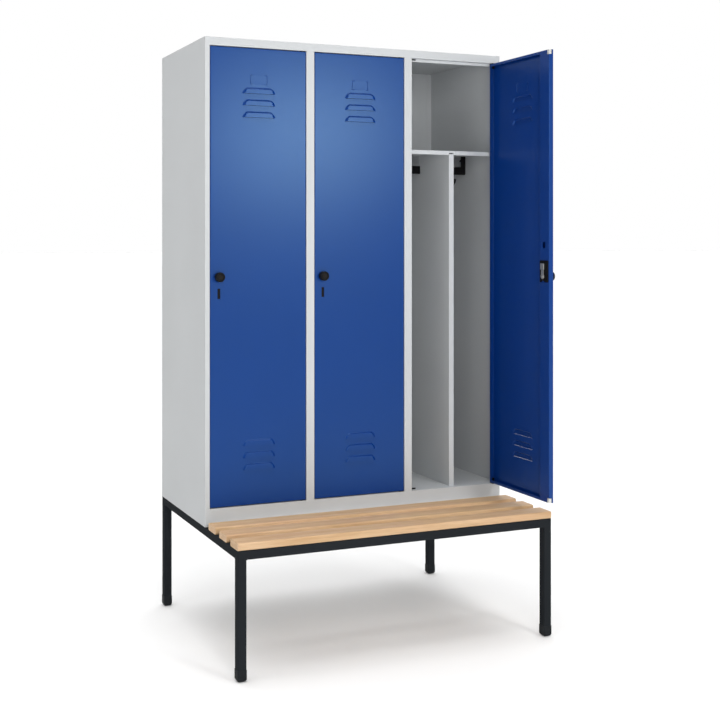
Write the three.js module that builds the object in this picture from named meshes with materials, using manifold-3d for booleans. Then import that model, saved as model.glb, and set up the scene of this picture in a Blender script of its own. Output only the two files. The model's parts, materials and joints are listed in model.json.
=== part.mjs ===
// A steel locker with three tall compartments, standing on a tube frame that carries a slatted bench.
// Millimetres, +Z up. The cabinet's front faces -Y, and the doors hang on pins at their right edges.
// The origin is on the floor, under the middle of the whole object with its right door wide open.

import * as THREE from 'three';
import { mergeVertices } from 'three/addons/utils/BufferGeometryUtils.js';
import Module from 'manifold-3d';

const wasm = await Module();
wasm.setup();

// Cabinet
const bodyWidth = 1200;
const bodyDepth = 500;
const bodyHeight = 1700;
const compartments = 3;
const sheet = 1;
const bendRadius = 2;
const endPostWidth = 17;
const middlePostWidth = 31;
const topRailHeight = 29;
const plinthHeight = 62;
const plinthFlange = 22;
const postReturnDepth = 20.5;
const hingeReturnDepth = 12;
const rearFlange = 25;
const stopLipDrop = 10;

// Bench frame and slats
const benchHeight = 420;
const benchReach = 315;
const tube = 30;
const tubeWall = 2;
const tubeCorner = 3;
const footHeight = 38;
const footWall = 1;
const footSole = 9;
const footRounding = 11;
const slatCount = 3;
const slatThickness = 25;
const slatGap = 35;
const slatRounding = 6;

// Doors
const doorThickness = 18.5;
const doorSideGap = 2;
const doorEndGap = 3;
const doorBend = 2.5;
const doorLip = 10;
const stiffenerWidth = 54;
const stiffenerFoot = 9;
const stiffenerSlotWidth = 10;
const stiffenerSlotHeight = 21;
const stiffenerSlotRise = 111;
const openAngle = Math.PI / 2;

// Hinges
const hingeInset = 6;
const pinRadius = 2.5;
const pinLength = 16;
const bushWall = 1.5;
const bushSleeve = 10;
const bushPlateLength = 20;
const bushPlateHeight = 2.4;

// Louvres and label frame pressed into each door
const louvresPerSet = 3;
const louvrePitch = 42;
const louvreWidth = 124;
const louvreTopWidth = 100;
const louvreHeight = 26;
const louvreDepth = 6;
const louvreSlope = 4;
const louvreRounding = 10;
const topLouvreDrop = 164;
const bottomLouvreRise = 117;
const labelWidth = 66;
const labelHeight = 34;
const labelRim = 2.5;
const labelRelief = 0.8;
const labelTab = 6;
const labelTabRelief = 1.8;
const labelDrop = 110;

// Lock on the free edge of each door
const lockInset = 32;
const lockRise = 800;
const knobRadius = 18;
const knobLength = 26;
const knobEdge = 3;
const knobFaceRadius = 11;
const knobFaceDepth = 2;
const knobStandOff = 0.6;
const spindleRadius = 5;
const spindleHead = 2;
const barrelRadius = 10;
const caseWidth = 47;
const caseHeight = 78;
const casePlate = 3;
const caseBelow = 21;
const caseNotchRadius = 12;
const camPlate = 2.5;
const camReach = 46;
const camHub = 9.5;
const camWaist = 6.5;
const camNoseLength = 22;
const camNoseThickness = 4;
const doorSlotWidth = 10;
const doorSlotHeight = 36;
const doorSlotDrop = 58;
const glideWidth = 12;
const glideDepth = 11.5;
const glideHeight = 22;

// Shelves, dividers, coat rails and hooks
const innerFront = 22;
const shelfHeight = 1332;
const shelfLip = 15;
const shelfReturn = 9;
const dividerFace = 20;
const dividerReturn = 15;
const tabSlotHeight = 5;
const tabSlotDrop = 7;
const railThickness = 3;
const railPlace = 237;
const bladeHeight = 31;
const railLegWidth = 20;
const railDrop = 74;
const railClawReach = 7;
const railClawHeight = 11;
const railClawDrop = 10;
const railCorner = 5;
const hookArmReach = 52;
const hookArmRise = 50;
const hookArmWidth = 11;
const hookThickness = 6;
const hookStemWidth = 16;
const hookStemLength = 17;
const hookSaddleWidth = 24;
const hookCheek = 3;

// Fits
const clearance = 0.3;
const overrun = 5;
const weld = 0.001;

// Sizes that follow from the ones above
const bodyTop = benchHeight + bodyHeight;
const floorTop = benchHeight + plinthHeight;
const railBottom = bodyTop - topRailHeight;
const doorwayWidth =
  (bodyWidth - 2 * endPostWidth - (compartments - 1) * middlePostWidth) / compartments;
const doorwayPitch = doorwayWidth + middlePostWidth;
const doorWidth = doorwayWidth - 2 * doorSideGap;
const doorBottom = floorTop + doorEndGap;
const doorTop = railBottom - doorEndGap;
const openReach = doorWidth - 2 * hingeInset;
const lockHeight = doorBottom + lockRise;
const shelfTop = benchHeight + shelfHeight;
const shelfUnderside = shelfTop - sheet;
const shelfBack = bodyDepth - 2 * sheet;
const frameUnderside = benchHeight - tube;
const slatPitch = benchReach / slatCount;
const slatWidth = slatPitch - slatGap;

// Finishes
const finish = (color, roughness, metalness) =>
  new THREE.MeshStandardMaterial({ color, roughness, metalness });
const greyPaint = finish(0xc9cccf, 0.45, 0);
const bluePaint = finish(0x23488a, 0.4, 0);
const blackPaint = finish(0x2a2e31, 0.5, 0);
const blackPlastic = finish(0x141516, 0.4, 0);
const whitePlastic = finish(0xe4e1d6, 0.5, 0);
const zincPlate = finish(0xb9bbbd, 0.3, 1);
const beech = finish(0xd7b48c, 0.55, 0);

// Solids
function solidOf(geometry) {
  const bare = geometry.index ? geometry.toNonIndexed() : geometry.clone();
  bare.deleteAttribute('normal');
  bare.deleteAttribute('uv');
  const merged = mergeVertices(bare);
  return new wasm.Manifold(
    new wasm.Mesh({
      numProp: 3,
      vertProperties: new Float32Array(merged.attributes.position.array),
      triVerts: new Uint32Array(merged.index.array),
    })
  );
}

function block([x0, x1], [y0, y1], [z0, z1]) {
  const geometry = new THREE.BoxGeometry(x1 - x0, y1 - y0, z1 - z0);
  geometry.translate((x0 + x1) / 2, (y0 + y1) / 2, (z0 + z1) / 2);
  return solidOf(geometry);
}

// An outline's points, less the ones that repeat where a line meets an arc
function cleanOutline(shape, segments) {
  const points = shape.getPoints(segments);
  return new THREE.Shape(points.filter((point, i) => point.distanceTo(points.at(i - 1)) > weld));
}

function prism(shape, depth, segments) {
  return new THREE.ExtrudeGeometry(cleanOutline(shape, segments), { depth, bevelEnabled: false });
}

// The shape's own x and y become world X and Y.
function alongZ(shape, [z0, z1], segments = 2) {
  return solidOf(prism(shape, z1 - z0, segments).translate(0, 0, z0));
}

// The shape's own x and y become world Y and Z.
function alongX(shape, [x0, x1], segments = 2) {
  const turn = new THREE.Matrix4().makeBasis(
    new THREE.Vector3(0, 1, 0),
    new THREE.Vector3(0, 0, 1),
    new THREE.Vector3(1, 0, 0)
  );
  return solidOf(prism(shape, x1 - x0, segments).applyMatrix4(turn).translate(x0, 0, 0));
}

// The shape's own x and y become world X and Z.
function alongY(shape, [y0, y1], segments = 2) {
  const turn = new THREE.Matrix4().makeRotationX(Math.PI / 2);
  return solidOf(prism(shape, y1 - y0, segments).applyMatrix4(turn).translate(0, y1, 0));
}

function rodAlongZ(radius, x, y, [z0, z1], sides = 16) {
  const geometry = new THREE.CylinderGeometry(radius, radius, z1 - z0, sides);
  geometry.rotateX(Math.PI / 2).translate(x, y, (z0 + z1) / 2);
  return solidOf(geometry);
}

function rodAlongY(radius, x, z, [y0, y1], sides = 24) {
  const geometry = new THREE.CylinderGeometry(radius, radius, y1 - y0, sides);
  geometry.translate(x, (y0 + y1) / 2, z);
  return solidOf(geometry);
}

const join = (...solids) => solids.reduce((whole, piece) => whole.add(piece));
const cut = (solid, ...tools) => tools.reduce((whole, tool) => whole.subtract(tool), solid);

function polygon(...points) {
  return new THREE.Shape(points.map(([x, y]) => new THREE.Vector2(x, y)));
}

// A rectangle with one radius for each corner: low-low, high-low, high-high, low-high.
function roundedRectangle([x0, x1], [y0, y1], [r0, r1, r2, r3]) {
  const shape = new THREE.Shape();
  shape.moveTo(x0 + r0, y0);
  shape.lineTo(x1 - r1, y0);
  if (r1) shape.absarc(x1 - r1, y0 + r1, r1, -Math.PI / 2, 0, false);
  shape.lineTo(x1, y1 - r2);
  if (r2) shape.absarc(x1 - r2, y1 - r2, r2, 0, Math.PI / 2, false);
  shape.lineTo(x0 + r3, y1);
  if (r3) shape.absarc(x0 + r3, y1 - r3, r3, Math.PI / 2, Math.PI, false);
  shape.lineTo(x0, y0 + r0);
  if (r0) shape.absarc(x0 + r0, y0 + r0, r0, Math.PI, 1.5 * Math.PI, false);
  return shape;
}

function meshOf(name, solid, material) {
  const { vertProperties, triVerts } = solid.getMesh();
  const geometry = new THREE.BufferGeometry();
  geometry.setAttribute('position', new THREE.BufferAttribute(new Float32Array(vertProperties), 3));
  geometry.setIndex(new THREE.BufferAttribute(new Uint32Array(triVerts), 1));
  geometry.computeVertexNormals();
  const mesh = new THREE.Mesh(geometry, material);
  mesh.name = name;
  return mesh;
}

const locker = new THREE.Group();
const cabinet = new THREE.Group();
cabinet.position.set(-bodyWidth / 2, -(bodyDepth - openReach) / 2, 0);
locker.add(cabinet);
const add = (name, solid, material) => cabinet.add(meshOf(name, solid, material));

// Side walls, each folded round into a front post with a return behind it, and a flange at the rear
function sideWall(side) {
  const across = (a, b) => (side < 0 ? [a, b] : [bodyWidth - b, bodyWidth - a]);
  const returnDepth = side < 0 ? postReturnDepth : hingeReturnDepth;
  const corners = side < 0 ? [bendRadius, 0, 0, 0] : [0, bendRadius, 0, 0];
  const outside = roundedRectangle(across(0, endPostWidth), [0, bodyDepth], corners);
  return join(
    cut(
      alongZ(outside, [benchHeight, bodyTop]),
      block(
        across(sheet, endPostWidth + overrun),
        [sheet, bodyDepth + overrun],
        [benchHeight - overrun, bodyTop + overrun]
      )
    ),
    block(across(endPostWidth - sheet, endPostWidth), [0, returnDepth], [floorTop, railBottom]),
    block(across(0, rearFlange), [shelfBack, shelfBack + sheet], [floorTop, bodyTop - sheet])
  );
}
add('wall_left', sideWall(-1), greyPaint);
add('wall_right', sideWall(1), greyPaint);

const insideWidth = [sheet, bodyWidth - sheet];
const insideDepth = [sheet, bodyDepth - sheet];
const betweenEndPosts = [endPostWidth, bodyWidth - endPostWidth];

add(
  'back_panel',
  block(insideWidth, [bodyDepth - sheet, bodyDepth], [benchHeight, bodyTop]),
  greyPaint
);

const doorwayLeft = (i) => endPostWidth + i * doorwayPitch;
const hingeX = (i) => doorwayLeft(i) + doorwayWidth - doorSideGap - hingeInset;
const everyCompartment = Array.from({ length: compartments }, (_, i) => i);

// Top sheet with the front rail folded down, its ledge, the door stops and the upper hinge pins
function topPanel() {
  const rail = new THREE.Shape();
  rail.moveTo(bendRadius + sheet, bodyTop);
  rail.absarc(bendRadius, bodyTop - bendRadius, bendRadius, Math.PI / 2, Math.PI, false);
  rail.lineTo(0, railBottom);
  rail.lineTo(postReturnDepth + sheet, railBottom);
  rail.lineTo(postReturnDepth + sheet, railBottom + sheet);
  rail.lineTo(sheet, railBottom + sheet);
  rail.lineTo(sheet, bodyTop - sheet);
  rail.lineTo(bendRadius + sheet, bodyTop - sheet);
  const ends = [
    [sheet, endPostWidth],
    [bodyWidth - endPostWidth, bodyWidth - sheet],
  ].map((across) => block(across, [sheet, bendRadius + sheet], [bodyTop - sheet, bodyTop]));
  const stops = everyCompartment.map((i) =>
    block(
      [doorwayLeft(i) + clearance, doorwayLeft(i) + doorwayWidth - clearance],
      [postReturnDepth, postReturnDepth + sheet],
      [railBottom - stopLipDrop, railBottom + sheet]
    )
  );
  const pins = everyCompartment.map((i) =>
    rodAlongZ(pinRadius, hingeX(i), hingeInset, [railBottom - pinLength, railBottom + sheet])
  );
  return join(
    block(insideWidth, [bendRadius, bodyDepth - sheet], [bodyTop - sheet, bodyTop]),
    alongX(rail, betweenEndPosts),
    ...ends,
    ...stops,
    ...pins
  );
}
add('top_panel', topPanel(), greyPaint);

// Floor sheet with the plinth folded down in front, its bottom flange and the lower hinge pins
function floorPanel() {
  const pins = everyCompartment.map((i) =>
    rodAlongZ(pinRadius, hingeX(i), hingeInset, [floorTop - sheet, floorTop + pinLength])
  );
  return join(
    block(insideWidth, insideDepth, [floorTop - sheet, floorTop]),
    block(betweenEndPosts, [0, sheet], [benchHeight, floorTop]),
    block(betweenEndPosts, [0, plinthFlange], [benchHeight, benchHeight + sheet]),
    ...pins
  );
}
add('floor_panel', floorPanel(), greyPaint);

// Partitions, each welded to the post between two doorways
function partition(i) {
  const left = doorwayLeft(i) + doorwayWidth;
  const right = left + middlePostWidth;
  const middle = (left + right) / 2;
  const overLedge = postReturnDepth + 2 * sheet;
  return join(
    block([left, right], [0, sheet], [floorTop, railBottom]),
    block([left, left + sheet], [0, hingeReturnDepth], [floorTop, railBottom]),
    block([right - sheet, right], [0, postReturnDepth], [floorTop, railBottom]),
    block([middle - sheet / 2, middle + sheet / 2], [0, bodyDepth - sheet], [floorTop, railBottom]),
    block(
      [middle - sheet / 2, middle + sheet / 2],
      [overLedge, bodyDepth - sheet],
      [railBottom - overrun, bodyTop - sheet]
    )
  );
}
for (const i of everyCompartment.slice(1)) {
  add(`partition_${i}`, partition(i - 1), greyPaint);
}

// The clear space of a compartment between its two side sheets
function compartmentSpan(i) {
  const half = middlePostWidth / 2;
  const left = i === 0 ? sheet : doorwayLeft(i) - half + sheet / 2;
  const right =
    i === compartments - 1 ? bodyWidth - sheet : doorwayLeft(i) + doorwayWidth + half - sheet / 2;
  return [left, right];
}
const doorwayMiddle = (i) => doorwayLeft(i) + doorwayWidth / 2;

// Hat shelf with a folded front lip, and a slot in the lip for the divider's tab
function hatShelf(i) {
  const span = compartmentSpan(i);
  const middle = doorwayMiddle(i);
  const lipBottom = shelfTop - shelfLip;
  const slotTop = shelfTop - tabSlotDrop;
  return cut(
    join(
      block(span, [innerFront, shelfBack], [shelfUnderside, shelfTop]),
      block(span, [innerFront, innerFront + sheet], [lipBottom, shelfTop]),
      block(span, [innerFront, innerFront + shelfReturn], [lipBottom, lipBottom + sheet])
    ),
    block(
      [middle - dividerFace / 2, middle + dividerFace / 2],
      [innerFront - overrun, innerFront + 2 * sheet],
      [slotTop - tabSlotHeight, slotTop]
    )
  );
}

// Divider folded from one sheet, with a notch that the coat rail passes through
function divider(i) {
  const left = doorwayMiddle(i) - dividerFace / 2;
  const right = left + dividerFace;
  const faceTop = shelfTop - shelfLip;
  const behindLip = innerFront + shelfReturn + sheet;
  const railFront = railPlace - railThickness / 2 - clearance;
  const railBack = railPlace + railThickness / 2 + clearance;
  return cut(
    join(
      block([left, right], [innerFront, innerFront + sheet], [floorTop, faceTop]),
      block([right - sheet, right], [innerFront, innerFront + dividerReturn], [floorTop, faceTop]),
      block([left, left + sheet], [innerFront, bodyDepth - sheet], [floorTop, faceTop]),
      block([left, left + sheet], [behindLip, bodyDepth - sheet], [faceTop - overrun, shelfUnderside])
    ),
    block(
      [left - overrun, left + sheet + overrun],
      [railFront, railBack],
      [shelfUnderside - railDrop - clearance, shelfUnderside + overrun]
    )
  );
}

// Coat rail: a flat blade on two legs under the shelf, each leg with a small claw
function coatRail(i) {
  const [left, right] = compartmentSpan(i);
  const bottom = shelfUnderside - railDrop;
  const bladeTop = bottom + bladeHeight;
  const clawTop = shelfUnderside - railClawDrop;
  const clawTip = clawTop - railClawHeight;
  const legLeft = left + railLegWidth;
  const legRight = right - railLegWidth;
  const outline = new THREE.Shape();
  outline.moveTo(left + railCorner, bottom);
  outline.lineTo(right - railCorner, bottom);
  outline.absarc(right - railCorner, bottom + railCorner, railCorner, -Math.PI / 2, 0, false);
  outline.lineTo(right, shelfUnderside);
  outline.lineTo(legRight, shelfUnderside);
  outline.lineTo(legRight, clawTop);
  outline.lineTo(legRight - railClawReach, clawTip);
  outline.lineTo(legRight, clawTip);
  outline.lineTo(legRight, bladeTop);
  outline.lineTo(legLeft, bladeTop);
  outline.lineTo(legLeft, clawTip);
  outline.lineTo(legLeft + railClawReach, clawTip);
  outline.lineTo(legLeft, clawTop);
  outline.lineTo(legLeft, shelfUnderside);
  outline.lineTo(left, shelfUnderside);
  outline.lineTo(left, bottom + railCorner);
  outline.absarc(left + railCorner, bottom + railCorner, railCorner, Math.PI, 1.5 * Math.PI, false);
  return alongY(outline, [railPlace - railThickness / 2, railPlace + railThickness / 2]);
}

// Double coat hook: a saddle over the blade, a short stem and two rising arms
function coatHook(x) {
  const bladeBottom = shelfUnderside - railDrop;
  const bladeTop = bladeBottom + bladeHeight;
  const front = railPlace - railThickness / 2 - clearance;
  const back = railPlace + railThickness / 2 + clearance;
  const saddleBottom = bladeBottom - clearance - hookCheek;
  const armTop = saddleBottom - hookStemLength + hookArmWidth;
  const armRoot = armTop - hookArmRise;
  const tipInner = hookArmReach - hookArmWidth;
  const arms = polygon(
    [x - hookStemWidth / 2, saddleBottom + clearance],
    [x - hookStemWidth / 2, armRoot + hookArmWidth],
    [x - tipInner, armTop],
    [x - hookArmReach, armTop],
    [x - hookArmReach, armTop - hookArmWidth],
    [x - hookStemWidth / 2, armRoot - hookArmWidth / 2],
    [x + hookStemWidth / 2, armRoot - hookArmWidth / 2],
    [x + hookArmReach, armTop - hookArmWidth],
    [x + hookArmReach, armTop],
    [x + tipInner, armTop],
    [x + hookStemWidth / 2, armRoot + hookArmWidth],
    [x + hookStemWidth / 2, saddleBottom + clearance]
  );
  return join(
    cut(
      block(
        [x - hookSaddleWidth / 2, x + hookSaddleWidth / 2],
        [front - hookCheek, back + hookCheek],
        [saddleBottom, bladeTop + clearance + hookCheek]
      ),
      block(
        [x - hookSaddleWidth, x + hookSaddleWidth],
        [front, back],
        [bladeBottom - clearance, bladeTop + clearance]
      )
    ),
    alongY(arms, [railPlace - hookThickness / 2, railPlace + hookThickness / 2])
  );
}

for (const i of everyCompartment) {
  const [left, right] = compartmentSpan(i);
  const dividerLeft = doorwayMiddle(i) - dividerFace / 2;
  const dividerRight = dividerLeft + dividerFace;
  add(`hat_shelf_${i + 1}`, hatShelf(i), greyPaint);
  add(`divider_${i + 1}`, divider(i), greyPaint);
  add(`coat_rail_${i + 1}`, coatRail(i), blackPlastic);
  add(`coat_hook_left_${i + 1}`, coatHook((left + dividerLeft) / 2), blackPlastic);
  add(`coat_hook_right_${i + 1}`, coatHook((dividerRight + right) / 2), blackPlastic);
}

// Bench frame: two welded end frames of square tube, joined by a front and a rear rail
const tubeCorners = [tubeCorner, tubeCorner, tubeCorner, tubeCorner];
const boreCorners = [0, 0, 0, 0];
const tubeSection = (a, b, wall, corners) =>
  roundedRectangle([a + wall, a + tube - wall], [b + wall, b + tube - wall], corners);

function endFrame(x) {
  const legStart = footSole;
  const rowFront = -benchReach;
  const rowBack = bodyDepth - tube;
  const legTop = benchHeight - tubeWall;
  const solid = join(
    alongZ(tubeSection(x, rowFront, 0, tubeCorners), [legStart, benchHeight]),
    alongZ(tubeSection(x, rowBack, 0, tubeCorners), [legStart, benchHeight]),
    alongY(tubeSection(x, frameUnderside, 0, tubeCorners), [rowFront + tubeCorner, bodyDepth - tubeCorner])
  );
  return cut(
    solid,
    alongZ(tubeSection(x, rowFront, tubeWall, boreCorners), [legStart - overrun, legTop]),
    alongZ(tubeSection(x, rowBack, tubeWall, boreCorners), [legStart - overrun, legTop]),
    alongY(tubeSection(x, frameUnderside, tubeWall, boreCorners), [rowFront + tube / 2, rowBack + tube / 2])
  );
}
add('bench_end_left', endFrame(0), blackPaint);
add('bench_end_right', endFrame(bodyWidth - tube), blackPaint);

function crossRail(y) {
  const between = [tube, bodyWidth - tube];
  const through = [tube - overrun, bodyWidth - tube + overrun];
  return cut(
    alongX(tubeSection(y, frameUnderside, 0, tubeCorners), between),
    alongX(tubeSection(y, frameUnderside, tubeWall, boreCorners), through)
  );
}
add('bench_rail_front', crossRail(-benchReach), blackPaint);
add('bench_rail_rear', crossRail(bodyDepth - tube), blackPaint);

// Foot caps pushed over the leg ends
function footCap(x, y) {
  const grow = clearance + footWall;
  const inset = footRounding - grow;
  const core = roundedRectangle([x + inset, x + tube - inset], [y + inset, y + tube - inset], boreCorners);
  const rounded = new THREE.ExtrudeGeometry(core, {
    depth: footHeight,
    bevelEnabled: true,
    bevelThickness: footRounding,
    bevelSize: footRounding,
    bevelSegments: 4,
    curveSegments: 1,
  }).translate(0, 0, footRounding);
  return cut(
    solidOf(rounded),
    block(
      [x - clearance, x + tube + clearance],
      [y - clearance, y + tube + clearance],
      [footSole, footHeight + overrun]
    ),
    block(
      [x - tube, x + 2 * tube],
      [y - tube, y + 2 * tube],
      [footHeight, footHeight + 2 * footRounding + overrun]
    )
  );
}
for (const [across, x] of [['left', 0], ['right', bodyWidth - tube]]) {
  add(`foot_front_${across}`, footCap(x, -benchReach), blackPlastic);
  add(`foot_rear_${across}`, footCap(x, bodyDepth - tube), blackPlastic);
}

// Seat slats across the end frames
const slatNames = ['front', 'middle', 'rear'];
for (let i = 0; i < slatCount; i++) {
  const front = -benchReach + i * slatPitch;
  const section = roundedRectangle(
    [front, front + slatWidth],
    [benchHeight, benchHeight + slatThickness],
    [slatRounding, slatRounding, slatRounding, slatRounding]
  );
  add(`seat_slat_${slatNames[i] ?? i}`, alongX(section, [0, bodyWidth]), beech);
}

// The door's own frame: the hinge axis is at x = 0, y = 0, and the door is drawn shut.
const doorRight = hingeInset;
const doorLeft = doorRight - doorWidth;
const doorFace = -hingeInset;
const doorBack = doorFace + doorThickness;
const doorMiddle = (doorLeft + doorRight) / 2;
const lockX = doorLeft + lockInset;
const glideEnds = [
  [doorTop - glideHeight, doorTop],
  [doorBottom, doorBottom + glideHeight],
];

// Front outline of a louvre: narrower at its rounded top, and carried on below its slit
function louvreOutline(bottom, inset) {
  const lean = (louvreWidth - louvreTopWidth) / 2 / louvreHeight;
  const skirt = 2 * louvreSlope;
  const low = louvreWidth / 2 + skirt * lean - inset;
  const high = bottom + louvreHeight - inset;
  const slope = Math.atan2(1, lean);
  const arcX = louvreTopWidth / 2 - inset - louvreRounding * Math.tan(slope / 2);
  const arcZ = high - louvreRounding;
  const shape = new THREE.Shape();
  shape.moveTo(doorMiddle - low, bottom - skirt);
  shape.lineTo(doorMiddle + low, bottom - skirt);
  shape.absarc(doorMiddle + arcX, arcZ, louvreRounding, Math.PI / 2 - slope, Math.PI / 2, false);
  shape.absarc(doorMiddle - arcX, arcZ, louvreRounding, Math.PI / 2, Math.PI / 2 + slope, false);
  return shape;
}

// A pressed plateau with rounded shoulders, from its face back into the door
function louvreBlank(bottom, inset, face) {
  const body = 2 * sheet;
  const blank = new THREE.ExtrudeGeometry(cleanOutline(louvreOutline(bottom, louvreSlope + inset), 2), {
    depth: body,
    bevelThickness: louvreDepth,
    bevelSize: louvreSlope,
    bevelSegments: 2,
  });
  return solidOf(blank.rotateX(Math.PI / 2).translate(0, face + louvreDepth + body, 0));
}

// A louvre's hood, open downwards, and the hollow behind it
function louvre(bottom) {
  const across = [doorMiddle - louvreWidth, doorMiddle + louvreWidth];
  const upwards = [bottom, bottom + 2 * louvreHeight];
  const innerHalf = louvreWidth / 2 - louvreSlope - sheet;
  const face = doorFace - louvreDepth;
  const slit = block(
    [doorMiddle - innerHalf, doorMiddle + innerHalf],
    [face + sheet, doorFace],
    [bottom - louvreSlope, bottom + sheet]
  );
  const hollow = louvreBlank(bottom, sheet, face + sheet).intersect(
    block(across, [face, doorBack], upwards)
  );
  return {
    hood: louvreBlank(bottom, 0, face).intersect(block(across, [face, doorFace + sheet / 2], upwards)),
    hollow: join(hollow, slit),
  };
}

// A low pressed frame for a name label, with a raised tab at each corner
function labelFrame() {
  const x = [doorMiddle - labelWidth / 2, doorMiddle + labelWidth / 2];
  const z = [doorTop - labelDrop - labelHeight / 2, doorTop - labelDrop + labelHeight / 2];
  const back = doorFace + sheet / 2;
  const front = doorFace - labelTabRelief;
  const frame = cut(
    block(x, [doorFace - labelRelief, back], z),
    block([x[0] + labelRim, x[1] - labelRim], [front, doorFace], [z[0] + labelRim, z[1] - labelRim])
  );
  const tabs = [
    [[x[0], x[0] + labelTab], [z[0], z[0] + labelRim]],
    [[x[1] - labelTab, x[1]], [z[0], z[0] + labelRim]],
    [[x[0], x[0] + labelTab], [z[1] - labelRim, z[1]]],
    [[x[1] - labelTab, x[1]], [z[1] - labelRim, z[1]]],
  ].map(([tabX, tabZ]) => block(tabX, [front, back], tabZ));
  return join(frame, ...tabs);
}

// The door tray: skin, four flanges and an inner lip, with louvres, lock holes and bush holes
function doorPanel() {
  const height = [doorBottom, doorTop];
  const skinBack = doorFace + sheet;
  const lipFront = doorBack - sheet;
  const outside = roundedRectangle(
    [doorLeft, doorRight],
    [doorFace, doorBack],
    [doorBend, doorBend, 0, 0]
  );
  const tray = cut(
    alongZ(outside, height),
    block([doorLeft + sheet, doorRight - sheet], [skinBack, lipFront], [doorBottom + sheet, doorTop - sheet]),
    block(
      [doorLeft + sheet, doorRight - doorLip],
      [skinBack, doorBack + overrun],
      [doorBottom + doorLip, doorTop - doorLip]
    ),
    block(
      [doorLeft + sheet, doorLeft + stiffenerWidth],
      [skinBack, doorBack + overrun],
      [doorBottom + sheet, doorTop - sheet]
    )
  );
  const sets = Array.from({ length: louvresPerSet }, (_, i) => [
    louvre(doorTop - topLouvreDrop - i * louvrePitch),
    louvre(doorBottom + bottomLouvreRise + i * louvrePitch),
  ]).flat();
  const boreRadius = pinRadius + bushWall + 2 * clearance;
  const bushHoles = [
    [doorTop - overrun, doorTop + overrun],
    [doorBottom - overrun, doorBottom + overrun],
  ].map((ends) => rodAlongZ(boreRadius, 0, 0, ends));
  const glideNotches = glideEnds.map((ends) =>
    block([doorLeft - overrun, doorLeft + glideWidth], [doorBack - glideDepth, doorBack + overrun], ends)
  );
  const slotMiddle = lockHeight - doorSlotDrop;
  return cut(
    join(tray, labelFrame(), ...sets.map((set) => set.hood)),
    ...sets.map((set) => set.hollow),
    ...bushHoles,
    ...glideNotches,
    rodAlongY(barrelRadius + clearance, lockX, lockHeight, [doorFace - overrun, skinBack + overrun]),
    block(
      [lockX - doorSlotWidth / 2, lockX + doorSlotWidth / 2],
      [doorFace - overrun, skinBack + overrun],
      [slotMiddle - doorSlotHeight / 2, slotMiddle + doorSlotHeight / 2]
    )
  );
}

// The stiffener closes the lock side of the tray into a hollow section.
function doorStiffener() {
  const left = doorLeft + sheet;
  const right = doorLeft + stiffenerWidth;
  const skinBack = doorFace + sheet;
  const section = polygon(
    [left, doorBack],
    [left, doorBack - sheet],
    [right - sheet, doorBack - sheet],
    [right - sheet, skinBack],
    [right + stiffenerFoot, skinBack],
    [right + stiffenerFoot, skinBack + sheet],
    [right, skinBack + sheet],
    [right, doorBack]
  );
  const around = [doorBack - 2 * sheet, doorBack + overrun];
  const slotMiddle = lockHeight + stiffenerSlotRise;
  return cut(
    alongZ(section, [doorBottom + sheet, doorTop - sheet]),
    rodAlongY(barrelRadius + clearance, lockX, lockHeight, around),
    block(
      [lockX - stiffenerSlotWidth / 2, lockX + stiffenerSlotWidth / 2],
      around,
      [slotMiddle - stiffenerSlotHeight / 2, slotMiddle + stiffenerSlotHeight / 2]
    ),
    ...glideEnds.map((ends) =>
      block([doorLeft - overrun, doorLeft + glideWidth], [doorBack - glideDepth, doorBack + overrun], ends)
    )
  );
}

// Lock case: a cover plate on the stiffener, a barrel that reaches through to the door's face,
// and a strip behind the skin that carries the black insert in the door's slot
function lockCase() {
  const left = doorLeft + (stiffenerWidth - caseWidth) / 2;
  const bottom = lockHeight - caseBelow;
  const behindPlate = [doorBack - overrun, doorBack + casePlate + overrun];
  const plate = cut(
    block([left, left + caseWidth], [doorBack, doorBack + casePlate], [bottom, bottom + caseHeight]),
    rodAlongY(caseNotchRadius, lockX, bottom - caseNotchRadius / 2, behindPlate)
  );
  const slotMiddle = lockHeight - doorSlotDrop;
  const insertWidth = doorSlotWidth - 2 * clearance;
  const insertHeight = doorSlotHeight - 2 * clearance;
  const stripFront = doorFace + sheet + clearance;
  const strip = block(
    [lockX - insertWidth / 2, lockX + insertWidth / 2],
    [stripFront, stripFront + casePlate],
    [slotMiddle - insertHeight / 2, lockHeight]
  );
  const insert = block(
    [lockX - insertWidth / 2, lockX + insertWidth / 2],
    [doorFace, stripFront + casePlate],
    [slotMiddle - insertHeight / 2, slotMiddle + insertHeight / 2]
  );
  return cut(
    join(
      plate,
      rodAlongY(barrelRadius, lockX, lockHeight, [doorFace, doorBack + casePlate]),
      strip,
      insert
    ),
    rodAlongY(spindleRadius + clearance, lockX, lockHeight, [doorFace - overrun, doorBack + 2 * casePlate])
  );
}

const camFront = doorBack + casePlate + clearance;
const camBack = camFront + camPlate;

// Knob turned with its spindle, which ends in a riveted head behind the cam
function lockKnob() {
  const base = doorFace - knobStandOff;
  const face = base - knobLength;
  const headFront = camBack + clearance;
  const tail = headFront + spindleHead;
  const headRadius = spindleRadius + spindleHead;
  const profile = [
    [0, face + knobFaceDepth],
    [knobFaceRadius, face + knobFaceDepth],
    [knobFaceRadius, face],
    [knobRadius - knobEdge, face],
    [knobRadius - knobEdge * (1 - Math.SQRT1_2), face + knobEdge * (1 - Math.SQRT1_2)],
    [knobRadius, face + knobEdge],
    [knobRadius, base],
    [spindleRadius, base],
    [spindleRadius, headFront],
    [headRadius, headFront],
    [headRadius, tail],
    [0, tail],
  ].map(([radius, y]) => new THREE.Vector2(radius, y));
  const geometry = new THREE.LatheGeometry(profile, 32);
  return solidOf(geometry.translate(lockX, 0, lockHeight));
}

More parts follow.
